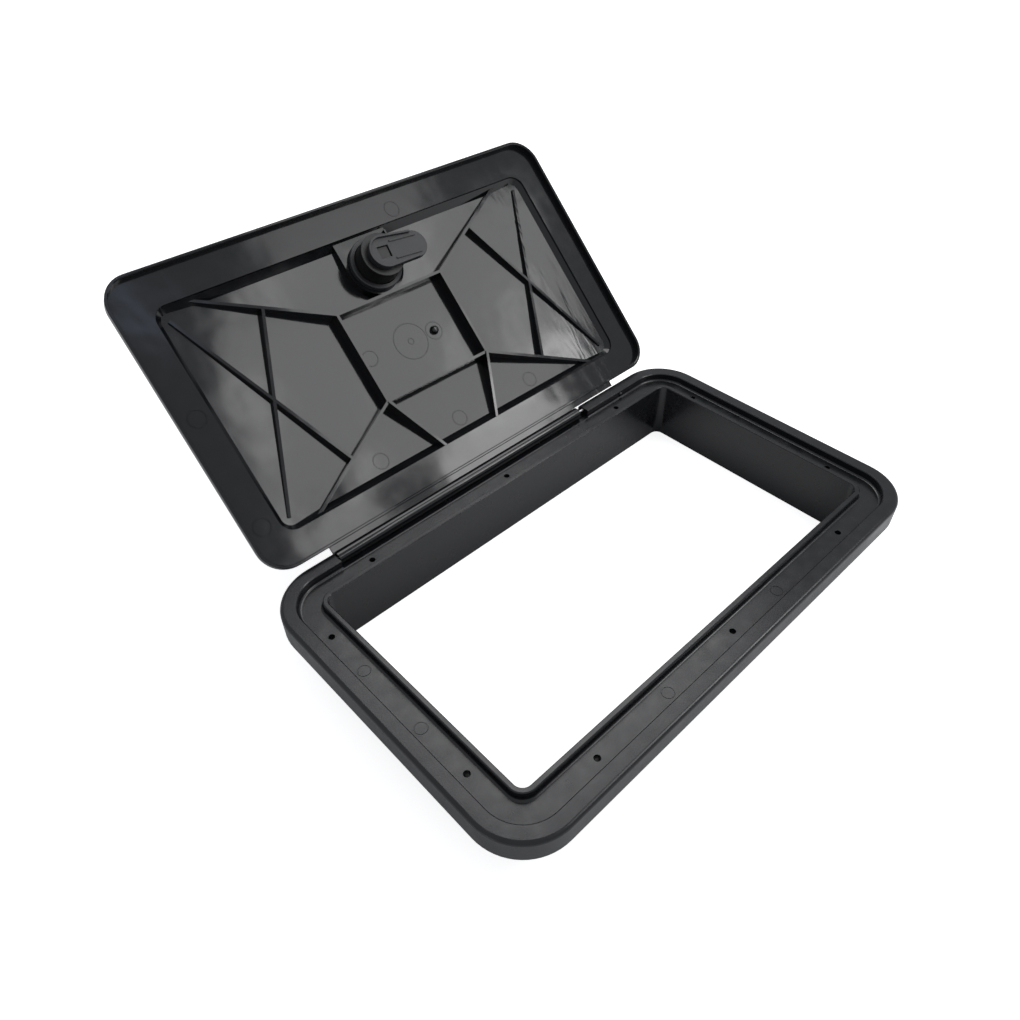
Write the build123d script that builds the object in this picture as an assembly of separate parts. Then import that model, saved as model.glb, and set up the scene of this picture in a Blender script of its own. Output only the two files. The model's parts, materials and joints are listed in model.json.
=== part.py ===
"""Access hatch for the wall of a caravan or camper.

A moulded surround drops into a rectangular cut-out and is screwed down through a sunken ledge.
A lid with a raised field, stiffened inside by ribs, swings on a steel pin in the surround's back rim,
and a turn lock in the lid throws a lever into a slot in the surround's front wall.

X runs along the hinge, +Y points to the hinge side and Z points out of the wall. The origin is the
middle of the opening, on the plane where the surround seats on the wall. The lid is drawn shut and
then swung open to its stop, which is how the hatch is shown.
"""
import math
import os

from build123d import *

# Driving dimensions in millimetres

# Surround
surround_length = 375.0
surround_width = 225.0
surround_corner = 34.0
rim_height = 16.0          # rim top above the wall
rim_width = 10.0
rim_round = 2.5            # outer edge of the rim
edge_break = 0.6           # bevel on the other edges of the rim, the lip and the lock
ledge_drop = 6.0           # screw ledge below the rim top
ledge_round = 2.0          # hollow corner where the ledge meets the rim and the lip
shell_wall = 3.0           # walls of the hollow rim and ledge
flange_width = 25.0        # what covers the wall round the cut-out
spigot_wall = 3.3
spigot_drop = 28.0         # how far the spigot reaches into the wall
opening_corner = 6.0

# Screws that hold the surround
screw_bore = 4.0
screw_inset = 17.3         # from the outer edge to the screw line
screw_pitch = 116.8        # along the long sides, from the middle hole
screw_half_span = 59.0     # along the short sides, from the middle of the pair
screw_shift = 3.0          # of that pair, towards the hinge
screw_boss = 4.6           # radius of the post under each hole

# Lid
lid_wall = 2.0
front_gap = 2.0            # between the lid and the rim at the front
end_gap = 2.7              # between the lid and the rim at each end
hinge_gap = 3.1            # between the lid and the rim on the hinge side
lip_gap = 0.3              # between the shut lid and the lip
lid_corner = 19.0
skirt_depth = 4.5          # lid edge below the underside of its flange
lid_round = 1.5
skirt_break = 0.5          # bevel along the skirt's lower edges
open_angle = 136.4         # from shut to the open stop

# Raised field of the lid
border_end = 22.2          # flange left round the field, at each end
border_front = 23.7
border_back = 19.6
field_corner = 10.0
field_depth = 4.5          # from the flange to the field at its ends
field_draft = 8.0          # degrees
field_bevel = 3.0          # of the field's end wall that slopes into the field
bevel_slope = 45.0         # degrees
bevel_reach = 6.0          # depth that the slope can cover where the field lies deeper
hip_rise = 6.0             # the middle stands this much higher than the ends
core_length = 90.0         # flat rectangle in the middle of the field
core_width = 66.5
hip_run = 85.0             # along the length, from the rectangle's corner to the hip's end

# Ribs inside the lid
rib_wall = 2.0
rib_height = 8.5           # round the middle rectangle
rib_fade = 0.6             # height left where a rib runs out at the field's end
brace_start = 43.0         # along the length, from the rectangle's corner to the brace
brace_inset = 9.0          # from the field's long edge to where a brace runs out
brace_end = 8.3            # from the field's end to where a brace runs out
foot_half_span = 24.0      # where the two short ribs meet the hinge side
foot_rib_height = 9.5

# Hinge
hinge_inset = 4.7          # axis from the outer edge
hinge_drop = 2.0           # axis below the rim top
pin_radius = 1.0
pin_clearance = 0.15
pin_seat = 7.0             # length of pin held in the rim's left end
pin_hold = 36.0            # length of pin held in the surround's knuckle
barrel_left = 133.6        # lid barrel, from the middle
barrel_right = 85.3
barrel_gap = 0.5           # round the barrel and at its left end
knuckle_gap = 6.7          # between the barrel and the surround's knuckle
neck_right = 131.0         # lid neck beside the knuckle, from the middle
neck_reach = 4.3           # that neck stops this far short of the axis
stop_gap = 0.4             # between the open lid and the surround's back wall

# Lock
lock_inset = 23.8          # lock axis from the field's front edge
lock_radius = 15.5
lock_clearance = 0.3
lock_length = 17.0         # below the platform
platform_radius = 21.2
platform_drop = 2.6        # platform's underside above the underside of the flange
bezel_radius = 17.3
bezel_height = 3.5
nut_radius = 19.0
nut_height = 4.0
plug_radius = 9.0
plug_clearance = 0.2
plug_head_radius = 11.5
plug_head_height = 2.0
key_slot_length = 10.0
key_slot_width = 2.4
key_slot_depth = 6.0
tang_side = 8.0
tang_clearance = 0.15
tang_recess = 1.2          # tang ends this far inside the lever

# Lever of the lock
lever_bite = 2.6           # how far the lever's end reaches past the front wall's inner face
lever_rest = 5.0           # degrees past the hinge line when unlocked
lever_hub = 11.5
lever_tip = 9.8
lever_plate = 3.0
lever_rail = 1.6           # width of the raised rails
rail_height = 1.8
rail_length = 24.0         # from the lock axis
lever_gap = 0.3            # between the lever and the lock's end
keeper_play = 1.6          # round the lever in the slot of the front wall

# Worked-out places
ledge_top = rim_height - ledge_drop
spigot_length = surround_length - 2 * flange_width
spigot_width = surround_width - 2 * flange_width
spigot_corner = opening_corner + spigot_wall
opening_length = spigot_length - 2 * spigot_wall
opening_width = spigot_width - 2 * spigot_wall
rim_inner_corner = surround_corner - rim_width

flange_under = rim_height + lip_gap
flange_top = flange_under + lid_wall
lid_back = surround_width / 2 - rim_width - hinge_gap
lid_front = -(surround_width / 2 - rim_width - front_gap)
lid_length = surround_length - 2 * (rim_width + end_gap)
lid_width = lid_back - lid_front
lid_middle = (lid_back + lid_front) / 2
skirt_bottom = flange_under - skirt_depth

field_under = flange_under + field_depth + hip_rise
field_length = lid_length - 2 * border_end
field_front = lid_front + border_front
field_back = lid_back - border_back
field_width = field_back - field_front
field_middle = (field_back + field_front) / 2
slope_along = hip_rise / (field_length / 2 - core_length / 2)
hip_across = field_width / 2 - core_width / 2
slope_across = slope_along * hip_run / hip_across
rib_bottom = field_under - rib_height

hinge_y = surround_width / 2 - hinge_inset
hinge_z = rim_height - hinge_drop
hinge_line = Axis((0, hinge_y, hinge_z), (1, 0, 0))
barrel_radius = flange_top - hinge_z
knuckle_start = barrel_right + knuckle_gap
pin_left = -barrel_left - barrel_gap - pin_seat
pin_right = knuckle_start + pin_hold

lock_y = field_front + lock_inset
lever_reach = lock_y + opening_width / 2 + lever_bite
platform_under = flange_under + platform_drop
platform_top = platform_under + lid_wall
lock_end = platform_under - lock_length
lever_top = lock_end - lever_gap
lever_under = lever_top - lever_plate

over = 1.0                 # how far a cutting shape runs past the face it cuts
fuse = 0.5                 # how far a rib or boss runs into the wall that carries it


def plate(size_x, size_y, corner, bottom, top, middle_y=0.0, draft=0.0):
    """A flat plate with round corners, drawn in towards its top by the draft angle."""
    outline = RectangleRounded(size_x, size_y, corner)
    return Pos(0, middle_y, bottom) * extrude(outline, top - bottom, taper=draft)


def rod(radius, start, end, y=0.0, z=0.0):
    """A round bar along X."""
    return Pos((start + end) / 2, y, z) * Rot(0, 90, 0) * Cylinder(radius, end - start)


def post(radius, bottom, top, x=0.0, y=0.0):
    """A round bar along Z."""
    return Pos(x, y, (bottom + top) / 2) * Cylinder(radius, top - bottom)


def block(x_range, y_range, z_range):
    """A box between three pairs of limits."""
    low = [min(pair) for pair in (x_range, y_range, z_range)]
    high = [max(pair) for pair in (x_range, y_range, z_range)]
    middle = [(a + b) / 2 for a, b in zip(low, high)]
    sizes = [b - a for a, b in zip(low, high)]
    return Pos(*middle) * Box(*sizes)


def swing_open(piece):
    """Turns a piece of the shut lid to the open stop."""
    return piece.rotate(hinge_line, -open_angle)


def screw_places():
    """The middles of the screw holes: three along each long side, two along each short side."""
    side_y = surround_width / 2 - screw_inset
    side_x = surround_length / 2 - screw_inset
    long_sides = [(x, y) for y in (-side_y, side_y) for x in (-screw_pitch, 0, screw_pitch)]
    pair = (screw_shift - screw_half_span, screw_shift + screw_half_span)
    short_sides = [(x, y) for x in (-side_x, side_x) for y in pair]
    return long_sides + short_sides


def hinge_room():
    """What is taken out of the back rim so that the lid's barrel and neck can turn in it."""
    ends = (-barrel_left - barrel_gap, knuckle_start)
    back = surround_width / 2 + over
    rim_inside = surround_width / 2 - rim_width - over
    trough = rod(barrel_radius + barrel_gap, *ends, hinge_y, hinge_z)
    above = block(ends, (rim_inside, back), (hinge_z, rim_height + over))
    inside = block(ends, (rim_inside, hinge_y), (ledge_top, hinge_z))
    rest = block(ends, (hinge_y, lid_back - rim_width), (hinge_z, flange_top + stop_gap))
    return trough + above + inside + swing_open(rest)


def keeper_slot():
    """The slot in the front wall that takes the lever's end, as wide as the lever's swing needs."""
    wall_inside = opening_width / 2
    throw = math.hypot(lever_reach, keeper_play)
    half_chord = math.sqrt(throw ** 2 - (lock_y + wall_inside) ** 2) + keeper_play
    heights = (lever_under - rail_height - keeper_play, lever_top + keeper_play)
    return block((-half_chord, half_chord), (-wall_inside + over, -spigot_width / 2 - over), heights)


def surround():
    """The moulded frame: hollow rim, sunken ledge, lip and spigot in one piece."""
    body = plate(surround_length, surround_width, surround_corner, 0, rim_height)
    channel = plate(surround_length - 2 * rim_width, surround_width - 2 * rim_width, rim_inner_corner,
                    ledge_top, rim_height + over)
    channel -= plate(spigot_length, spigot_width, spigot_corner, ledge_top, rim_height + over)
    channel = fillet(channel.edges().group_by(Axis.Z)[0], ledge_round)
    opening = plate(opening_length, opening_width, opening_corner, -spigot_drop, rim_height)
    body -= opening
    body -= channel
    tops = body.faces().filter_by(Axis.Z).group_by(Axis.Z)[-1].sort_by(SortBy.AREA)
    lip_face, rim_face = tops[0], tops[-1]
    inner_edges = rim_face.inner_wires()[0].edges() + lip_face.edges()
    body = chamfer(inner_edges, edge_break)
    tops = body.faces().filter_by(Axis.Z).group_by(Axis.Z)[-1].sort_by(SortBy.AREA)
    body = fillet(tops[-1].outer_wire().edges(), rim_round)

    under_ledge = plate(surround_length - 2 * shell_wall, surround_width - 2 * shell_wall,
                        surround_corner - shell_wall, 0, ledge_top - shell_wall)
    under_ledge -= plate(spigot_length, spigot_width, spigot_corner, 0, ledge_top - shell_wall)
    rim_core = rim_width - shell_wall
    under_rim = plate(surround_length - 2 * shell_wall, surround_width - 2 * shell_wall,
                      surround_corner - shell_wall, 0, rim_height - shell_wall)
    under_rim -= plate(surround_length - 2 * rim_core, surround_width - 2 * rim_core,
                       surround_corner - rim_core, 0, rim_height - shell_wall)
    under_rim -= block((pin_left - shell_wall, pin_right + shell_wall), (hinge_y - rim_width, surround_width),
                       (0, rim_height))
    body -= under_ledge
    body -= under_rim
    spigot = plate(spigot_length, spigot_width, spigot_corner, -spigot_drop, ledge_top - shell_wall)
    body += spigot - opening

    for x, y in screw_places():
        body += post(screw_boss, 0, ledge_top - shell_wall, x, y)
    for x, y in screw_places():
        body -= post(screw_bore / 2, -over, rim_height, x, y)
    body -= hinge_room()
    body -= rod(pin_radius + pin_clearance, pin_left, pin_right, hinge_y, hinge_z)
    return body - keeper_slot()


def hinge_pin():
    """The steel pin that the lid turns on, held at both ends by the surround."""
    return rod(pin_radius, pin_left, pin_right, hinge_y, hinge_z)


def hipped(top, grow=0.0):
    """A low hipped block over the field whose flat middle is the core rectangle at the given height."""
    fall = field_depth + hip_rise + lid_wall
    flat = Rectangle(core_length + 2 * grow, core_width + 2 * grow)
    wide = Rectangle(core_length + 2 * grow + 2 * fall / slope_along,
                     core_width + 2 * grow + 2 * fall / slope_across)
    return loft([Pos(0, field_middle, top - fall) * wide, Pos(0, field_middle, top) * flat], ruled=True)


def rib_bowl():
    """Space above the lower edges of the ribs, which rise from the core rectangle to the field's ends."""
    climb = rib_height - hip_rise - rib_fade
    steep = climb / hip_rise
    fall = field_depth + hip_rise
    flat = Rectangle(core_length + 2 * rib_wall, core_width + 2 * rib_wall)
    wide = Rectangle(core_length + 2 * rib_wall + 2 * fall / (slope_along * steep),
                     core_width + 2 * rib_wall + 2 * fall / (slope_across * steep))
    return loft([Pos(0, field_middle, rib_bottom) * flat, Pos(0, field_middle, rib_bottom + fall) * wide],
                ruled=True)


def field_space(grow, top):
    """The space under the raised field, larger all round by the given amount, up to a hipped top."""
    waist = flange_under + field_depth - field_bevel + grow
    shoulder = waist + bevel_reach
    sides = None
    outset = grow
    for bottom, end, slope in ((flange_under, waist, field_draft), (waist, shoulder, bevel_slope), (shoulder, top, 0)):
        step = plate(field_length + 2 * outset, field_width + 2 * outset, field_corner + outset,
                     bottom, end, field_middle, slope)
        sides = step if sides is None else sides + step
        outset -= (end - bottom) * math.tan(math.radians(slope))
    return sides & hipped(top)


def rib(start, end, bottom, top):
    """A straight upright rib between two points of the plan."""
    run = (end[0] - start[0], end[1] - start[1])
    turn = math.degrees(math.atan2(run[1], run[0]))
    middle = ((start[0] + end[0]) / 2, (start[1] + end[1]) / 2, (bottom + top) / 2)
    return Pos(*middle) * Rot(0, 0, turn) * Box(math.hypot(*run), rib_wall, top - bottom)


def lid_ribs():
    """Ribs of the lid: the core rectangle, four hips, a crossed pair at each end and two short feet."""
    half_x = core_length / 2
    half_y = core_width / 2
    field_end = field_length / 2
    field_side = field_width / 2
    heights = (rib_bottom, field_under + over)
    lines = []
    for side in (-1, 1):
        edge_y = field_middle + side * half_y
        lines.append(((-half_x - rib_wall / 2, edge_y), (half_x + rib_wall / 2, edge_y)))
        lines.append(((side * half_x, field_middle - half_y), (side * half_x, field_middle + half_y)))
        for end in (-1, 1):
            corner = (end * half_x, edge_y)
            lines.append((corner, (end * (half_x + hip_run), edge_y + side * hip_across)))
            hip_share = brace_start / hip_run
            start = (end * (half_x + brace_start), edge_y + side * hip_across * hip_share)
            far_y = field_middle - side * (field_side - brace_inset)
            lines.append((start, (end * (field_end - brace_end), far_y)))
    ribs = rib(*lines[0], *heights)
    for start, end in lines[1:]:
        ribs += rib(start, end, *heights)
    space = field_space(fuse, field_under + fuse)
    ribs = ribs & rib_bowl() & space

    foot_bottom = field_under - foot_rib_height
    for end in (-1, 1):
        start = (end * half_x, field_middle + half_y)
        foot = (end * foot_half_span, field_back)
        ribs += rib(start, foot, foot_bottom, field_under + over) & space
    return ribs


def platform_outline(radius, front):
    """A round-ended shape about the lock, open to the lid's front."""
    reach = lock_y - front
    return Pos(0, lock_y) * Circle(radius) + Pos(0, lock_y - reach / 2) * Rectangle(2 * radius, reach)


def lid():
    """The lid in one moulded piece, drawn shut: flange, skirt, raised field, ribs, platform and barrel."""
    body = plate(lid_length, lid_width, lid_corner, skirt_bottom, flange_top, lid_middle)
    body = fillet(body.edges().group_by(Axis.Z)[-1], lid_round)
    body -= plate(lid_length - 2 * lid_wall, lid_width - 2 * lid_wall, lid_corner - lid_wall,
                  skirt_bottom, flange_under, lid_middle)
    body = chamfer(body.edges().group_by(Axis.Z)[0], skirt_break)

    crown = field_space(lid_wall, field_under + lid_wall)
    body += crown
    body -= field_space(0, field_under)

    space = field_space(fuse, field_under + fuse)
    boss = Pos(0, 0, platform_under) * extrude(platform_outline(platform_radius, field_front - fuse),
                                               field_under + over - platform_under)
    pocket = Pos(0, 0, platform_top) * extrude(platform_outline(platform_radius - lid_wall, field_front + lid_wall),
                                               field_under + 2 * lid_wall - platform_top)
    body += lid_ribs()
    body += boss & space
    body -= pocket
    body -= post(lock_radius + lock_clearance, platform_under - over, platform_top + over, 0, lock_y)

    neck_start = lid_back - lid_wall
    body += block((-barrel_left, barrel_right), (neck_start, hinge_y), (flange_under, flange_top))
    body += block((barrel_right, neck_right), (neck_start, hinge_y - neck_reach), (flange_under, flange_top))
    body += rod(barrel_radius, -barrel_left, barrel_right, hinge_y, hinge_z)
    body -= rod(pin_radius + pin_clearance, -barrel_left - over, barrel_right + over, hinge_y, hinge_z)
    return body


def lock_housing():
    """The fixed barrel of the lock, with its bezel in the lid's pocket."""
    body = post(bezel_radius, platform_top, platform_top + bezel_height, 0, lock_y)
    body = chamfer(body.edges().group_by(Axis.Z)[-1], edge_break)
    body += post(lock_radius, lock_end, platform_top, 0, lock_y)
    body -= post(plug_radius + plug_clearance, lock_end - over, platform_top + bezel_height + over, 0, lock_y)
    head_bottom = platform_top + bezel_height - plug_head_height
    return body - post(plug_head_radius + plug_clearance, head_bottom, head_bottom + 2 * plug_head_height, 0, lock_y)


def lock_nut():
    """The round nut that clamps the lock to the platform from inside."""
    body = post(nut_radius, platform_under - nut_height, platform_under, 0, lock_y)
    body = chamfer(body.edges().group_by(Axis.Z)[0], edge_break)
    return body - post(lock_radius + lock_clearance, platform_under - nut_height - over, platform_under + over, 0, lock_y)


def lock_plug():
    """The turning core of the lock: slotted head, round stem and square tang."""
    head_top = platform_top + bezel_height
    head_bottom = head_top - plug_head_height
    tang_end = lever_under + tang_recess
    body = post(plug_head_radius, head_bottom, head_top)
    body += post(plug_radius, lock_end, head_bottom)
    half = tang_side / 2
    body += block((-half, half), (-half, half), (tang_end, lock_end))
    slot = block((-key_slot_length / 2, key_slot_length / 2),
                 (-key_slot_width / 2, key_slot_width / 2),
                 (head_top - key_slot_depth, head_top + over))
    return Pos(0, lock_y) * Rot(0, 0, lever_rest) * (body - slot)


def lever_outline(trim=0.0):
    """Plan of the lever, pointing along +X: round hub and tip with straight sides."""
    hub = Circle(lever_hub - trim)
    tip = Pos(lever_reach - lever_tip, 0) * Circle(lever_tip - trim)
    return make_hull(hub.edges() + tip.edges())


def cam_lever():
    """The lock's lever: a flat plate with a raised rail round its hub and along both sides."""
    body = extrude(lever_outline(), lever_plate + rail_height)
    hollow = extrude(lever_outline(lever_rail), rail_height)
    tip_end = block((rail_length, lever_reach + over), (-lever_hub, lever_hub), (0, rail_height))
    body -= hollow + tip_end
    hole = tang_side + 2 * tang_clearance
    body -= block((-hole / 2, hole / 2), (-hole / 2, hole / 2), (-over, lever_plate + rail_height + over))
    return Pos(0, lock_y, lever_under - rail_height) * Rot(0, 0, lever_rest) * body


pieces = {
    "surround_frame": surround(),
    "hinge_pin": hinge_pin(),
    "hatch_lid": swing_open(lid()),
    "lock_housing": swing_open(lock_housing()),
    "lock_nut": swing_open(lock_nut()),
    "lock_plug": swing_open(lock_plug()),
    "lock_lever": swing_open(cam_lever()),
}

os.makedirs("parts", exist_ok=True)
for name, piece in pieces.items():
    export_step(piece, f"parts/{name}.step")
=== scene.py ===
"""Looks of an access hatch: moulded surround, ribbed lid swung open, and the turn lock in the lid.

Sizes are in millimetres and the scene is in metres. The lid's own marks are drawn on the shut lid, in the
frame of the surround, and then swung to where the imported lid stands.
"""
from __future__ import annotations

import json
import logging
import math
from dataclasses import dataclass, field
from enum import Enum
from typing import Any

import bmesh
import bpy
from mathutils import Matrix, Vector

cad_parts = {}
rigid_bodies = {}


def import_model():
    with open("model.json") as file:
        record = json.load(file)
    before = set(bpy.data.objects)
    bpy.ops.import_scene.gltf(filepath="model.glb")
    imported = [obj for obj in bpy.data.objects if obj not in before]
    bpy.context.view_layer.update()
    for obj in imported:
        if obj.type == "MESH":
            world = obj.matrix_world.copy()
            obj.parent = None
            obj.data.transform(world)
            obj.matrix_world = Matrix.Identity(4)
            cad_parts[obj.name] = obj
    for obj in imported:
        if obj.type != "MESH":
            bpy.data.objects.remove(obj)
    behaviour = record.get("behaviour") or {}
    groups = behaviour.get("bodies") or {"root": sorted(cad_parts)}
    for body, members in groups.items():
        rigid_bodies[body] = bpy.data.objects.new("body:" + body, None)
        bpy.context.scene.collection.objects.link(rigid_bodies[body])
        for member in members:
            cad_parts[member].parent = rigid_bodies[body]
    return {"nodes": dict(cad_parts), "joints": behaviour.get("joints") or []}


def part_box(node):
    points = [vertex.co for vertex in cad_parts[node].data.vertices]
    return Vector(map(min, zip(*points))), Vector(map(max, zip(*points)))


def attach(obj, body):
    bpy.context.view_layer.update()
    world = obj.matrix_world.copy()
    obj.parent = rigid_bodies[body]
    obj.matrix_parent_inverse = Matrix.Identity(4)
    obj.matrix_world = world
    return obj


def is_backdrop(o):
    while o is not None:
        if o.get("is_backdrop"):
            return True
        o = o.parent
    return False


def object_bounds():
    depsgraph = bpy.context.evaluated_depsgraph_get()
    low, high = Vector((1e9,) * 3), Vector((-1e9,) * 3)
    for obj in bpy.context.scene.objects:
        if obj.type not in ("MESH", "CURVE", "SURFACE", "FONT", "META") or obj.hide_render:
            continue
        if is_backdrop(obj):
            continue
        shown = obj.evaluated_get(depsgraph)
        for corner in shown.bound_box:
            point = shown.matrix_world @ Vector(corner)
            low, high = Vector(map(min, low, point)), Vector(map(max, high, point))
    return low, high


LOG = logging.getLogger("access_hatch")
MM = 0.001
END_FACE = 0.9  # a unit normal with more than this along the hinge belongs to an end face

Outline = list[tuple[float, float]]
Nodes = dict[str, bpy.types.Object]


class Body(Enum):
    """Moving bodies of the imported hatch."""

    SURROUND = "surround"
    LID = "lid"
    LEVER = "lever"


class Slot(Enum):
    """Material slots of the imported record."""

    SURROUND = "surround_abs"
    LID = "lid_abs"
    PIN = "pin_steel"
    LOCK = "lock_nylon"
    NUT = "nut_nylon"
    LEVER = "lever_nylon"


class Seen(Enum):
    """Kinds of ray that see the pale surroundings as white."""

    CAMERA = "Is Camera Ray"
    TRANSMISSION = "Is Transmission Ray"


def linear(colour: str) -> tuple[float, float, float, float]:
    """Turns an sRGB hex colour to linear light.

    Args:
        colour: A hash sign and six hex digits.

    Returns:
        Red, green, blue and an alpha of 1.
    """
    parts = [int(colour[i:i + 2], 16) / 255 for i in (1, 3, 5)]
    light = [p / 12.92 if p <= 0.04045 else ((p + 0.055) / 1.055) ** 2.4 for p in parts]
    return (light[0], light[1], light[2], 1.0)


def cells(size: float) -> float:
    """Texture scale at which one cell of a pattern measures that many millimetres."""
    return 1.0 / (size * MM)


def add(tree: bpy.types.NodeTree, kind: str, inputs: dict[str | int, Any] | None = None,
        **settings: Any) -> bpy.types.Node:
    """Adds a node with its settings and links.

    Args:
        tree: Node tree that takes the node.
        kind: Blender's name for the node.
        inputs: Values by socket name or number; a socket is linked and any other value is set.
        settings: Properties of the node itself.

    Returns:
        The new node.
    """
    node = tree.nodes.new(kind)
    for name, value in settings.items():
        setattr(node, name, value)
    for key, value in (inputs or {}).items():
        if isinstance(value, bpy.types.NodeSocket):
            tree.links.new(value, node.inputs[key])
        else:
            node.inputs[key].default_value = value
    return node


def noise(tree: bpy.types.NodeTree, place: bpy.types.NodeSocket, size: float,
          detail: float = 2.0) -> bpy.types.NodeSocket:
    """Adds noise of a real size.

    Args:
        tree: Node tree of the material.
        place: Position on the piece.
        size: Width of one cell in millimetres.
        detail: How many finer layers lie on the first.

    Returns:
        The noise, from 0 to 1.
    """
    cloudy = add(tree, "ShaderNodeTexNoise", {"Vector": place, "Scale": cells(size), "Detail": detail})
    return cloudy.outputs["Fac"]


def new_material(name: str) -> bpy.types.Material:
    """Makes a material with an empty node tree."""
    material = bpy.data.materials.new(name)
    material.use_nodes = True
    material.node_tree.nodes.clear()
    return material


@dataclass(frozen=True)
class MouldedPlastic:
    """Injection-moulded plastic whose skin is a print of the mould.

    A fine grain sets how soft the reflections are, a cloudy change in roughness keeps large faces from
    looking painted, and the slow sink of the wall as it cooled bends what the faces mirror.
    """

    name: str
    colour: str
    cloud: str
    roughness: tuple[float, float]
    grain_mm: float
    grain_depth_mm: float
    cloud_mm: float
    sink_mm: float
    sink_depth_mm: float
    ior: float = 1.53
    flow_span_mm: tuple[float, float] = (0.0, 0.0)
    flow_mm: tuple[float, float] = (8.0, 34.0)
    flow_bend: float = 0.6
    flow_depth_mm: float = 0.0

    def flow(self, tree: bpy.types.NodeTree, place: bpy.types.NodeSocket) -> bpy.types.NodeSocket:
        """Crinkles across the end that the melt reached last.

        Args:
            tree: Node tree of the material.
            place: Position on the piece.

        Returns:
            Height of the crinkles, which is greatest in the middle of the given span along the hinge.
        """
        narrow, long = (cells(size) for size in self.flow_mm)
        across = add(tree, "ShaderNodeMapping", {"Vector": place, "Scale": (narrow, long, long)})
        folds = add(tree, "ShaderNodeTexNoise", {
            "Vector": across.outputs["Vector"], "Scale": 1.0, "Detail": 2.0, "Distortion": self.flow_bend,
        })
        along = add(tree, "ShaderNodeSeparateXYZ", {"Vector": place})
        start, end = (reach * MM for reach in self.flow_span_mm)
        middle = (start + end) / 2
        offset = add(tree, "ShaderNodeMath", {0: along.outputs["X"], 1: middle}, operation="SUBTRACT")
        away = add(tree, "ShaderNodeMath", {0: offset.outputs[0]}, operation="ABSOLUTE")
        share = add(tree, "ShaderNodeMapRange", {
            "Value": away.outputs[0], "From Max": (end - start) / 2, "To Min": 1.0, "To Max": 0.0,
        })
        height = add(tree, "ShaderNodeMath", {0: folds.outputs["Fac"], 1: share.outputs["Result"]},
                     operation="MULTIPLY")
        return height.outputs[0]

    def make(self) -> bpy.types.Material:
        """Builds the material.

        Returns:
            The finished material.
        """
        material = new_material(self.name)
        tree = material.node_tree
        place = add(tree, "ShaderNodeTexCoord").outputs["Object"]
        cloud = noise(tree, place, self.cloud_mm, detail=4.0)
        tint = add(tree, "ShaderNodeValToRGB", {"Fac": cloud})
        tint.color_ramp.elements[0].color = linear(self.colour)
        tint.color_ramp.elements[1].color = linear(self.cloud)
        gloss = add(tree, "ShaderNodeMapRange", {
            "Value": cloud, "To Min": self.roughness[0], "To Max": self.roughness[1],
        })
        layers = [(noise(tree, place, self.sink_mm), self.sink_depth_mm),
                  (noise(tree, place, self.grain_mm), self.grain_depth_mm)]
        if self.flow_depth_mm:
            layers.append((self.flow(tree, place), self.flow_depth_mm))
        normal = add(tree, "ShaderNodeNewGeometry").outputs["Normal"]
        for height, depth in layers:
            bump = add(tree, "ShaderNodeBump", {
                "Height": height, "Distance": depth * MM, "Strength": 1.0, "Normal": normal,
            })
            normal = bump.outputs["Normal"]
        skin = add(tree, "ShaderNodeBsdfPrincipled", {
            "Base Color": tint.outputs["Color"], "Roughness": gloss.outputs["Result"], "IOR": self.ior,
            "Normal": normal,
        })
        add(tree, "ShaderNodeOutputMaterial", {"Surface": skin.outputs["BSDF"]})
        return material


@dataclass(frozen=True)
class DrawnWire:
    """Steel wire drawn through a die, which leaves fine lines along its length."""

    name: str
    colour: str
    roughness: tuple[float, float]
    line_mm: float
    line_length_mm: float
    line_depth_mm: float

    def make(self) -> bpy.types.Material:
        """Builds the material.

        Returns:
            The finished material.
        """
        material = new_material(self.name)
        tree = material.node_tree
        place = add(tree, "ShaderNodeTexCoord").outputs["Object"]
        stretch = (cells(self.line_length_mm), cells(self.line_mm), cells(self.line_mm))
        along = add(tree, "ShaderNodeMapping", {"Vector": place, "Scale": stretch})
        lines = add(tree, "ShaderNodeTexNoise", {
            "Vector": along.outputs["Vector"], "Scale": 1.0, "Detail": 3.0,
        })
        gloss = add(tree, "ShaderNodeMapRange", {
            "Value": lines.outputs["Fac"], "To Min": self.roughness[0], "To Max": self.roughness[1],
        })
        marks = add(tree, "ShaderNodeBump", {
            "Height": lines.outputs["Fac"], "Distance": self.line_depth_mm * MM,
        })
        skin = add(tree, "ShaderNodeBsdfPrincipled", {
            "Base Color": linear(self.colour), "Metallic": 1.0, "Roughness": gloss.outputs["Result"],
            "Normal": marks.outputs["Normal"],
        })
        add(tree, "ShaderNodeOutputMaterial", {"Surface": skin.outputs["BSDF"]})
        return material


# Black ABS from a polished mould: dark body, clear but slightly wavy reflections, crinkled at the right end
GLOSS_ABS = MouldedPlastic(
    "abs_moulded_gloss", colour="#0e0f11", cloud="#141517", roughness=(0.07, 0.16), grain_mm=1.6,
    grain_depth_mm=0.003, cloud_mm=10.5, sink_mm=42.0, sink_depth_mm=0.55, flow_span_mm=(108.0, 150.0),
    flow_depth_mm=0.3,
)
# Black ABS from an etched mould: the same body with a soft, uneven sheen and a fine tooth
SATIN_ABS = MouldedPlastic(
    "abs_moulded_satin", colour="#0e0f12", cloud="#18191c", roughness=(0.12, 0.36), grain_mm=0.9,
    grain_depth_mm=0.014, cloud_mm=9.0, sink_mm=36.0, sink_depth_mm=0.26,
)
# Black glass-filled nylon of the lock barrel and core: duller than the two mouldings
BLACK_NYLON = MouldedPlastic(
    "nylon_moulded_black", colour="#0d0d0e", cloud="#151516", roughness=(0.38, 0.50), grain_mm=0.9,
    grain_depth_mm=0.012, cloud_mm=7.5, sink_mm=30.0, sink_depth_mm=0.05,
)
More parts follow.
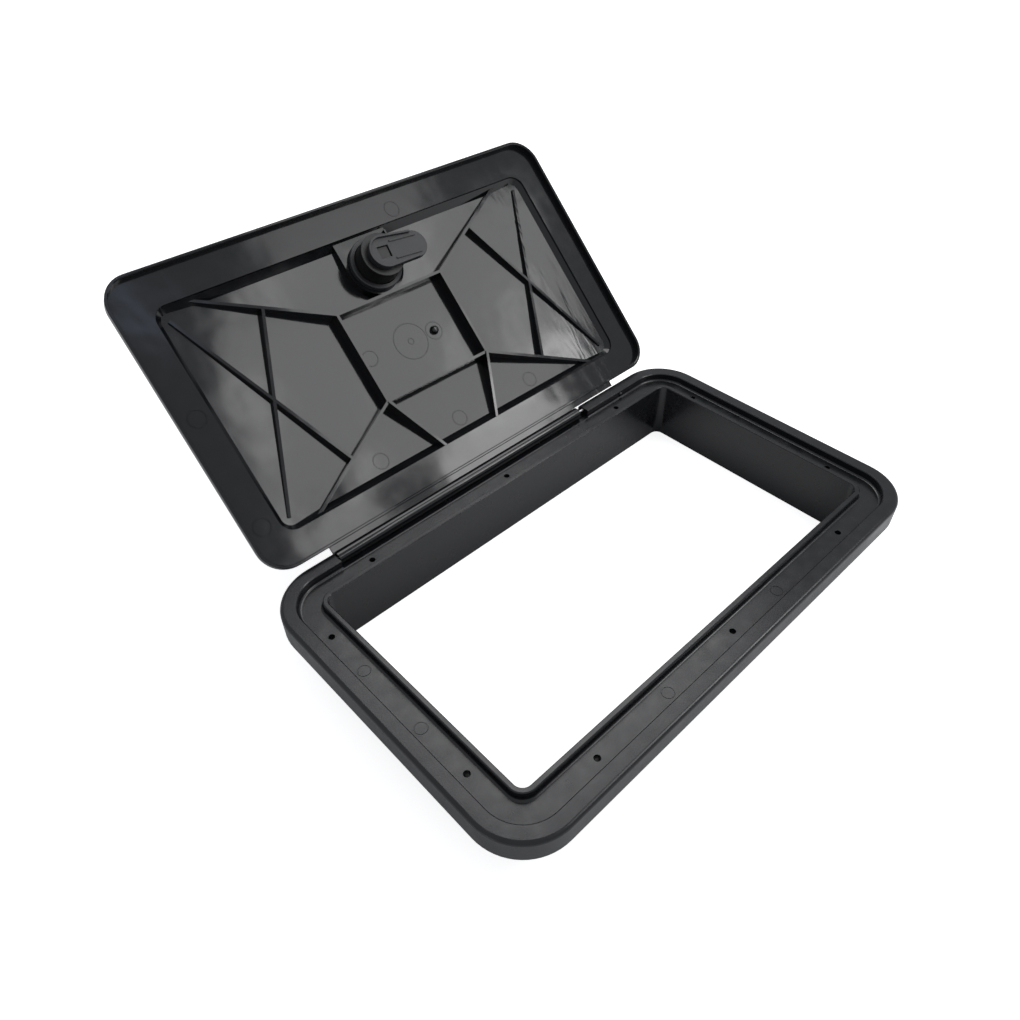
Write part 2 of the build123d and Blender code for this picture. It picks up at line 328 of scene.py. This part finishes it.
# Charcoal nylon of the nut and the lever: a little paler than the rest
CHARCOAL_NYLON = MouldedPlastic(
    "nylon_moulded_charcoal", colour="#222325", cloud="#2b2c2e", roughness=(0.36, 0.46), grain_mm=0.8,
    grain_depth_mm=0.010, cloud_mm=6.25, sink_mm=25.0, sink_depth_mm=0.04,
)
# Bright steel wire, drawn and left bare: a mirror streaked along its length
PIN_STEEL = DrawnWire(
    "steel_wire_drawn", colour="#b9babc", roughness=(0.22, 0.38), line_mm=0.12, line_length_mm=14.0,
    line_depth_mm=0.004,
)


def soften(node: bpy.types.Object, break_mm: float, smooth_deg: float = 26.0, flat_deg: float = 0.2,
           weld_mm: float = 0.001) -> None:
    """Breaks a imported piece's hard edges and evens its shading, with modifiers alone.

    Args:
        node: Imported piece.
        break_mm: Width of the bevel on a hard edge.
        smooth_deg: Edges flatter than this shade smoothly.
        flat_deg: Faces that meet flatter than this are joined.
        weld_mm: Corners nearer than this are joined.
    """
    name = f"welded_smooth_{smooth_deg:g}"
    tree = bpy.data.node_groups.get(name)
    if tree is None:
        tree = bpy.data.node_groups.new(name, "GeometryNodeTree")
        tree.interface.new_socket("Mesh", in_out="INPUT", socket_type="NodeSocketGeometry")
        tree.interface.new_socket("Mesh", in_out="OUTPUT", socket_type="NodeSocketGeometry")
        source = add(tree, "NodeGroupInput")
        weld = add(tree, "GeometryNodeMergeByDistance", {
            "Geometry": source.outputs[0], "Distance": weld_mm * MM,
        })
        angle = add(tree, "GeometryNodeInputMeshEdgeAngle").outputs["Unsigned Angle"]
        hard = add(tree, "FunctionNodeCompare", {0: angle, 1: math.radians(smooth_deg)},
                   data_type="FLOAT", operation="GREATER_THAN")
        shade = add(tree, "GeometryNodeSetMeshNormal", {
            "Mesh": weld.outputs["Geometry"], "Remove Custom": True, "Edge Sharpness": hard.outputs["Result"],
        }, mode="SHARPNESS")
        add(tree, "NodeGroupOutput", {0: shade.outputs["Mesh"]})
    weld_step = node.modifiers.new("weld", "NODES")
    weld_step.node_group = tree
    flat = node.modifiers.new("flat_faces", "DECIMATE")
    flat.decimate_type = "DISSOLVE"
    flat.angle_limit = math.radians(flat_deg)
    bevel = node.modifiers.new("broken_edges", "BEVEL")
    bevel.width = break_mm * MM
    bevel.segments = 2
    bevel.limit_method = "ANGLE"
    bevel.angle_limit = math.radians(smooth_deg)
    bevel.use_clamp_overlap = True
    even = node.modifiers.new("even_shading", "WEIGHTED_NORMAL")
    even.keep_sharp = True


def dress(node: bpy.types.Object, material: bpy.types.Material) -> None:
    """Gives a piece one material."""
    node.data.materials.clear()
    node.data.materials.append(material)


def lathe(name: str, profile: Outline, sides: int = 48) -> bpy.types.Object:
    """Turns a closed profile about Z.

    Args:
        name: Name of the piece.
        profile: Radius and height in millimetres, round the section; a radius of 0 is on the axis.
        sides: Steps of the turn.

    Returns:
        A new mesh object at the origin.
    """
    mesh = bmesh.new()
    rings = []
    for radius, height in profile:
        count = sides if radius > 0 else 1
        turns = [2 * math.pi * i / sides for i in range(count)]
        rings.append([mesh.verts.new((radius * math.cos(t) * MM, radius * math.sin(t) * MM, height * MM))
                      for t in turns])
    closed = profile[0][0] > 0 and profile[-1][0] > 0
    pairs = list(zip(rings, rings[1:] + rings[:1])) if closed else list(zip(rings, rings[1:]))
    for low, high in pairs:
        for i in range(sides):
            j = (i + 1) % sides
            corners = [low[i % len(low)], low[j % len(low)], high[j % len(high)], high[i % len(high)]]
            unique = list(dict.fromkeys(corners))
            if len(unique) > 2:
                mesh.faces.new(unique)
    return finish_mesh(mesh, name)


def slab(name: str, size: tuple[float, float, float], root: float = 0.3) -> bpy.types.Object:
    """Makes a small bar that stands on the plane of its own X and Y.

    Args:
        name: Name of the piece.
        size: Length, width and height above the plane in millimetres.
        root: How far the bar is let into what it stands on.

    Returns:
        A new mesh object at the origin.
    """
    mesh = bmesh.new()
    height = size[2] + root
    place = Matrix.Translation((0, 0, (size[2] - root) / 2 * MM))
    spread = Matrix.Diagonal((size[0] * MM, size[1] * MM, height * MM, 1))
    bmesh.ops.create_cube(mesh, size=1.0, matrix=place @ spread)
    return finish_mesh(mesh, name)


def finish_mesh(mesh: bmesh.types.BMesh, name: str, smooth_deg: float = 35.0) -> bpy.types.Object:
    """Turns built geometry into an object with its faces outward and its round faces smooth.

    Args:
        mesh: Geometry; it is freed here.
        name: Name of the piece.
        smooth_deg: Edges flatter than this shade smoothly.

    Returns:
        The new object.
    """
    bmesh.ops.recalc_face_normals(mesh, faces=mesh.faces)
    for face in mesh.faces:
        face.smooth = True
    data = bpy.data.meshes.new(name)
    mesh.to_mesh(data)
    mesh.free()
    data.set_sharp_from_angle(angle=math.radians(smooth_deg))
    made = bpy.data.objects.new(name, data)
    bpy.context.scene.collection.objects.link(made)
    return made


@dataclass
class Seat:
    """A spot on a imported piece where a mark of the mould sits."""

    node: bpy.types.Object
    start: Vector
    toward: Vector

    def matrix(self) -> Matrix:
        """Finds the surface along the line of sight.

        Returns:
            Placement whose Z is the surface's outward normal and whose X lies along the hinge.
        """
        hit, point, normal, _ = self.node.ray_cast(self.start, self.toward)
        if not hit:
            raise ValueError(f"nothing of {self.node.name} lies along {tuple(self.toward)}")
        along = Vector((1, 0, 0)) if abs(normal.x) < END_FACE else Vector((0, 1, 0))
        across = normal.cross(along).normalized()
        along = across.cross(normal)
        turn = Matrix((along, across, normal)).transposed()
        return Matrix.Translation(point) @ turn.to_4x4()


@dataclass
class SurroundFrame:
    """The screwed-down surround with its hinge pin."""

    break_mm: float = 0.25
    pin_break_mm: float = 0.15
    mark_radius: float = 4.0
    mark_line: float = 0.7
    mark_rise: float = 0.25
    ledge_line: float = 17.0  # from the surround's outer edge to the marks
    end_marks: tuple[float, ...] = (-20.0, 30.0)
    side_marks: tuple[float, ...] = (-60.0, 45.0)
    nub_radius: float = 1.7
    nub_x: float = 130.0
    nub_drop: float = 3.2
    nub_root: float = 0.3
    nub_steps: int = 8
    nub_sides: int = 24
    nub_from_y: float = 90.0  # inside the rim, where the line of sight to it starts

    def build(self, nodes: Nodes) -> list[bpy.types.Object]:
        """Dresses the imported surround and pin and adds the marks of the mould.

        Args:
            nodes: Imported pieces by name.

        Returns:
            The added pieces.
        """
        surround = nodes["surround_frame"]
        satin = SATIN_ABS.make()
        dress(surround, satin)
        soften(surround, self.break_mm)
        dress(nodes["hinge_pin"], PIN_STEEL.make())
        soften(nodes["hinge_pin"], self.pin_break_mm)
        pieces = self.ledge_marks(surround) + [self.rim_nub(surround)]
        for piece in pieces:
            dress(piece, satin)
            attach(piece, Body.SURROUND.value)
        return pieces

    def ledge_marks(self, surround: bpy.types.Object) -> list[bpy.types.Object]:
        """Rings left by the ejector pins in the sunken ledge.

        Args:
            surround: Packed surround.

        Returns:
            One ring for each pin.
        """
        low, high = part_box("surround_frame")
        inset = self.ledge_line * MM
        spots = [(x, y * MM) for x in (low.x + inset, high.x - inset) for y in self.end_marks]
        spots += [(x * MM, low.y + inset) for x in self.side_marks]
        section = ring_section(self.mark_radius, self.mark_line, self.mark_rise)
        rings = []
        for number, (x, y) in enumerate(spots, 1):
            ring = lathe(f"ledge_ejector_mark_{number}", section)
            ring.matrix_world = Seat(surround, Vector((x, y, high.z + MM)), Vector((0, 0, -1))).matrix()
            rings.append(ring)
        return rings

    def rim_nub(self, surround: bpy.types.Object) -> bpy.types.Object:
        """The small dome on the inner face of the back rim.

        Args:
            surround: Packed surround.

        Returns:
            The dome.
        """
        _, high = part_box("surround_frame")
        turns = [math.pi / 2 * i / self.nub_steps for i in range(self.nub_steps)]
        arc = [(self.nub_radius * math.cos(turn), self.nub_radius * math.sin(turn)) for turn in turns]
        profile = [(self.nub_radius, -self.nub_root), *arc, (0.0, self.nub_radius)]
        nub = lathe("rim_stop_nub", profile, self.nub_sides)
        start = Vector((self.nub_x * MM, self.nub_from_y * MM, high.z - self.nub_drop * MM))
        nub.matrix_world = Seat(surround, start, Vector((0, 1, 0))).matrix()
        return nub


def ring_section(radius: float, line: float, rise: float, root: float = 0.1) -> Outline:
    """Section of a thin raised ring that is let a little into the surface under it.

    Args:
        radius: Outer radius.
        line: Width of the ring.
        rise: Height above the surface.
        root: Depth let into the surface.

    Returns:
        Radius and height of each corner.
    """
    slope = line / 4
    inner = radius - line
    return [(inner, -root), (inner + slope, rise), (radius - slope, rise), (radius, -root)]


@dataclass
class HatchLid:
    """The ribbed lid and the marks of its mould."""

    hinge: Vector
    open_deg: float
    break_mm: float = 0.25
    back_edge: float = 99.4
    look_from: float = -20.0  # below the shut lid, where lines of sight to its inside start
    mark_radius: float = 6.0
    mark_line: float = 0.9
    mark_rise: float = 0.22
    flange_marks: tuple[tuple[float, float], ...] = ((-162.0, 106.5), (-163.0, 31.5), (34.0, 184.0))
    field_marks: tuple[tuple[float, float], ...] = ((-70.0, 32.0), (0.0, 32.0), (70.0, 32.0), (-36.0, 97.0))
    sprue_at: tuple[float, float] = (-1.0, 96.0)
    sprue_radius: float = 13.7
    sprue_sides: int = 64
    dimple_radius: float = 2.6
    gate_at: tuple[float, float] = (20.0, 96.0)
    gate_ring_radius: float = 7.0
    gate_radius: float = 3.4
    gate_neck_radius: float = 2.788
    gate_tip_radius: float = 1.87
    gate_root: float = 0.2
    gate_shoulder: float = 2.24
    gate_height: float = 3.2
    gate_hollow: float = 2.56
    strip_at: tuple[float, float] = (20.0, 169.0)
    strip_size: tuple[float, float, float] = (1.2, 7.0, 2.2)

    def swing(self) -> Matrix:
        """Placement that takes the shut lid to where it is packed."""
        pivot = Matrix.Translation(self.hinge)
        return pivot @ Matrix.Rotation(-math.radians(self.open_deg), 4, "X") @ pivot.inverted()

    def seat(self, lid: bpy.types.Object, spot: tuple[float, float]) -> Matrix:
        """Finds a spot on the inside of the lid.

        Args:
            lid: Packed lid.
            spot: Distance along the hinge and from the lid's hinge edge.

        Returns:
            Placement on the lid's inner face.
        """
        turn = self.swing()
        start = turn @ (Vector((spot[0], self.back_edge - spot[1], self.look_from)) * MM)
        toward = turn.to_3x3() @ Vector((0, 0, 1))
        return Seat(lid, start, toward).matrix()

    def build(self, nodes: Nodes) -> list[bpy.types.Object]:
        """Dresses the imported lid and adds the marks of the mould.

        Args:
            nodes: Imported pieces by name.

        Returns:
            The added pieces.
        """
        lid = nodes["hatch_lid"]
        gloss = GLOSS_ABS.make()
        dress(lid, gloss)
        soften(lid, self.break_mm)
        pieces = []
        for number, spot in enumerate(self.flange_marks + self.field_marks, 1):
            ring = lathe(f"lid_ejector_mark_{number}", self.ring(self.mark_radius))
            ring.matrix_world = self.seat(lid, spot)
            pieces.append(ring)
        pieces += self.sprue(lid)
        strip = slab("lock_stop_strip", self.strip_size)
        strip.matrix_world = self.seat(lid, self.strip_at)
        pieces.append(strip)
        for piece in pieces:
            dress(piece, gloss)
            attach(piece, Body.LID.value)
        return pieces

    def ring(self, radius: float) -> Outline:
        """Section of a mould mark's ring."""
        return ring_section(radius, self.mark_line, self.mark_rise)

    def sprue(self, lid: bpy.types.Object) -> list[bpy.types.Object]:
        """What the sprue and the gate left in the middle of the lid: two rings, a dimple and a cut stub.

        Args:
            lid: Packed lid.

        Returns:
            The four pieces.
        """
        stub = [(self.gate_radius, -self.gate_root), (self.gate_neck_radius, self.gate_shoulder),
                (self.gate_tip_radius, self.gate_height), (0.0, self.gate_hollow)]
        sections = {
            "lid_sprue_ring": (self.ring(self.sprue_radius), self.sprue_at),
            "lid_sprue_dimple": (self.ring(self.dimple_radius), self.sprue_at),
            "lid_gate_ring": (self.ring(self.gate_ring_radius), self.gate_at),
            "lid_gate_stub": (stub, self.gate_at),
        }
        made = []
        for name, (section, spot) in sections.items():
            piece = lathe(name, section, self.sprue_sides)
            piece.matrix_world = self.seat(lid, spot)
            made.append(piece)
        return made


@dataclass
class TurnLock:
    """The lock barrel, its nut, its turning core and its lever."""

    pose: Matrix
    axis: Vector
    break_mm: float = 0.25
    rest_deg: float = 5.0
    look_from: float = -30.0  # below the shut lid's lever, where lines of sight to it start
    rail_size: tuple[float, float, float] = (21.0, 1.0, 0.8)
    rail_middle: float = 17.0
    rail_half_span: float = 6.2

    def lever_seat(self, lever: bpy.types.Object, along: float, across: float) -> Matrix:
        """Finds a spot on the lever's inner face.

        Args:
            lever: Packed lever.
            along: Distance from the lock's axis towards the lever's tip.
            across: Distance to the side.

        Returns:
            Placement whose X runs along the lever.
        """
        turn = Matrix.Rotation(math.radians(self.rest_deg), 4, "Z")
        spot = turn @ (Vector((along, across, self.look_from)) * MM)
        shut_axis = self.pose.inverted() @ self.axis
        spot += Vector((0, shut_axis.y, 0))
        seat = Seat(lever, self.pose @ spot, self.pose.to_3x3() @ Vector((0, 0, 1))).matrix()
        return seat @ turn.inverted()

    def lever_rails(self, lever: bpy.types.Object) -> list[bpy.types.Object]:
        """Two thin rails along the lever.

        Args:
            lever: Packed lever.

        Returns:
            The two rails.
        """
        made = []
        for number, side in enumerate((-1, 1), 1):
            rail = slab(f"lever_rail_{number}", self.rail_size)
            rail.matrix_world = self.lever_seat(lever, self.rail_middle, side * self.rail_half_span)
            made.append(rail)
        return made

    def build(self, nodes: Nodes) -> list[bpy.types.Object]:
        """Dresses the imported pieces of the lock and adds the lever's rails.

        Args:
            nodes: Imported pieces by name.

        Returns:
            The added pieces.
        """
        black = BLACK_NYLON.make()
        charcoal = CHARCOAL_NYLON.make()
        finishes = {"lock_housing": black, "lock_plug": black, "lock_nut": charcoal, "lock_lever": charcoal}
        for name, material in finishes.items():
            dress(nodes[name], material)
            soften(nodes[name], self.break_mm)
        pieces = self.lever_rails(nodes["lock_lever"])
        for piece in pieces:
            dress(piece, charcoal)
            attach(piece, Body.LEVER.value)
        return pieces


@dataclass
class PhotoCamera:
    """The camera, where the photographer's stood: places in metres, roll in radians, lens in millimetres."""

    eye: Vector = field(default_factory=lambda: Vector((-0.29216, -0.21832, 0.38045)))
    target: Vector = field(default_factory=lambda: Vector((-0.02001, 0.07080, 0.006625)))
    roll: float = -0.007
    lens: float = 28.363
    sensor: float = 36.0

    def build(self) -> bpy.types.Object:
        """Makes the camera and hands it to the scene.

        Returns:
            The camera object.
        """
        forward = (self.target - self.eye).normalized()
        right = forward.cross(Vector((0, 0, 1))).normalized()
        down = forward.cross(right)
        cosine, sine = math.cos(self.roll), math.sin(self.roll)
        right, down = cosine * right - sine * down, sine * right + cosine * down
        turn = Matrix((right, -down, -forward)).transposed().to_4x4()
        data = bpy.data.cameras.new("photo_camera")
        data.lens = self.lens
        data.sensor_width = self.sensor
        data.clip_start = 0.01
        camera = bpy.data.objects.new("photo_camera", data)
        camera.matrix_world = Matrix.Translation(self.eye) @ turn
        bpy.context.scene.collection.objects.link(camera)
        bpy.context.scene.camera = camera
        return camera


@dataclass(frozen=True)
class Softbox:
    """One soft lamp of the studio, in metres and watts; without an aim it faces straight down."""

    name: str
    place: tuple[float, float, float]
    size: tuple[float, float]
    power: float
    aim: tuple[float, float, float] | None = None
    colour: str = "#ffffff"

    def build(self) -> bpy.types.Object:
        """Hangs the lamp.

        Returns:
            The lamp object.
        """
        data = bpy.data.lights.new(self.name, "AREA")
        data.shape = "RECTANGLE"
        data.size, data.size_y = self.size
        data.energy = self.power
        data.color = linear(self.colour)[:3]
        lamp = bpy.data.objects.new(self.name, data)
        lamp.location = self.place
        toward = Vector(self.aim) - Vector(self.place) if self.aim else Vector((0, 0, -1))
        lamp.rotation_euler = toward.to_track_quat("-Z", "Y").to_euler()
        bpy.context.scene.collection.objects.link(lamp)
        return lamp


@dataclass
class Studio:
    """Pale floor, white surroundings and soft lamps."""

    floor_size: float = 12.0
    floor_colour: str = "#e6e6e6"
    floor_lift: float = 0.78
    ambient: float = 0.50
    ambient_colour: str = "#f4f7fc"
    lamps: tuple[Softbox, ...] = (
        Softbox("key_softbox", (0.73, -0.53, 1.09), (0.76, 0.58), 3.5),
        Softbox("right_window", (0.83, -0.62, 1.08), (0.06, 0.30), 0.10),
        Softbox("left_window", (0.42, -0.50, 1.08), (0.05, 0.22), 0.055),
        Softbox("top_window", (0.57, -0.19, 1.09), (0.40, 0.22), 0.40),
        Softbox("low_window", (0.66, -0.60, 0.76), (0.30, 0.20), 1.05, aim=(0.02, 0.12, 0.03)),
        Softbox("corner_window", (0.28, -0.67, 0.83), (0.18, 0.14), 0.27, aim=(-0.12, 0.12, 0.03)),
        Softbox("sky_window", (0.135, -0.22, 1.21), (0.04, 0.26), 0.035, aim=(-0.16, 0.25, 0.15),
                colour="#c4d9ff"),
        Softbox("back_softbox", (0.52, 0.56, 1.09), (0.80, 0.74), 4.9),
    )

    def white_rays(self, tree: bpy.types.NodeTree) -> bpy.types.NodeSocket:
        """Adds up the kinds of ray that see the surroundings as white.

        Args:
            tree: Node tree of the floor or the world.

        Returns:
            A value of 1 on those rays.
        """
        path = add(tree, "ShaderNodeLightPath")
        seen = (path.outputs[kind.value] for kind in Seen)
        total = next(seen)
        for socket in seen:
            total = add(tree, "ShaderNodeMath", {0: total, 1: socket}, operation="MAXIMUM").outputs[0]
        return total

    def build(self, floor_height: float) -> None:
        """Lays the floor, sets the world and hangs the lamps.

        Args:
            floor_height: Lowest point of the hatch.
        """
        mesh = bmesh.new()
        bmesh.ops.create_grid(mesh, x_segments=1, y_segments=1, size=self.floor_size / 2)
        floor = finish_mesh(mesh, "studio_floor")
        floor.location.z = floor_height
        dress(floor, self.floor_material())
        floor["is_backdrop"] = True
        world = bpy.data.worlds.new("white_studio")
        bpy.context.scene.world = world
        world.use_nodes = True
        tree = world.node_tree
        tree.nodes.clear()
        level = add(tree, "ShaderNodeMapRange", {
            "Value": self.white_rays(tree), "To Min": self.ambient, "To Max": 1.0,
        })
        tint = add(tree, "ShaderNodeMix", {
            "Factor": self.white_rays(tree), "A": linear(self.ambient_colour), "B": linear("#ffffff"),
        }, data_type="RGBA")
        sky = add(tree, "ShaderNodeBackground", {
            "Color": tint.outputs["Result"], "Strength": level.outputs["Result"],
        })
        add(tree, "ShaderNodeOutputWorld", {"Surface": sky.outputs["Background"]})
        for lamp in self.lamps:
            lamp.build()

    def floor_material(self) -> bpy.types.Material:
        """White paper sweep: it takes a shadow and reads as white to the camera.

        Returns:
            The floor's material.
        """
        material = new_material("paper_sweep_matt")
        tree = material.node_tree
        paper = add(tree, "ShaderNodeBsdfDiffuse", {"Color": linear(self.floor_colour)})
        lift = add(tree, "ShaderNodeMath", {0: self.white_rays(tree), 1: self.floor_lift},
                   operation="MULTIPLY")
        glow = add(tree, "ShaderNodeEmission", {"Strength": lift.outputs[0]})
        both = add(tree, "ShaderNodeAddShader", {0: paper.outputs["BSDF"], 1: glow.outputs["Emission"]})
        add(tree, "ShaderNodeOutputMaterial", {"Surface": both.outputs["Shader"]})
        return material


def clear_scene() -> None:
    """Removes what a fresh Blender file holds."""
    for thing in list(bpy.data.objects):
        bpy.data.objects.remove(thing)


def main() -> None:
    """Builds the hatch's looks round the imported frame."""
    logging.basicConfig(level=logging.INFO, format="%(name)s: %(message)s")
    clear_scene()
    bpy.context.scene.view_settings.view_transform = "Standard"
    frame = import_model()
    nodes: Nodes = frame["nodes"]
    cad_low, cad_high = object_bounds()
    joints = {joint["name"]: joint for joint in frame["joints"]}
    hinge = joints["lid_hinge"]
    lid = HatchLid(Vector(hinge["pos_m"]), hinge["range_deg"][1])
    lock = TurnLock(lid.swing(), Vector(joints["lock_turn"]["pos_m"]))
    assemblies = (SurroundFrame(), lid, lock)
    for assembly in assemblies:
        for piece in assembly.build(nodes):
            LOG.info("%s: %s", type(assembly).__name__, piece.name)
    Studio().build(cad_low.z)
    PhotoCamera().build()


if __name__ == "__main__":
    main()
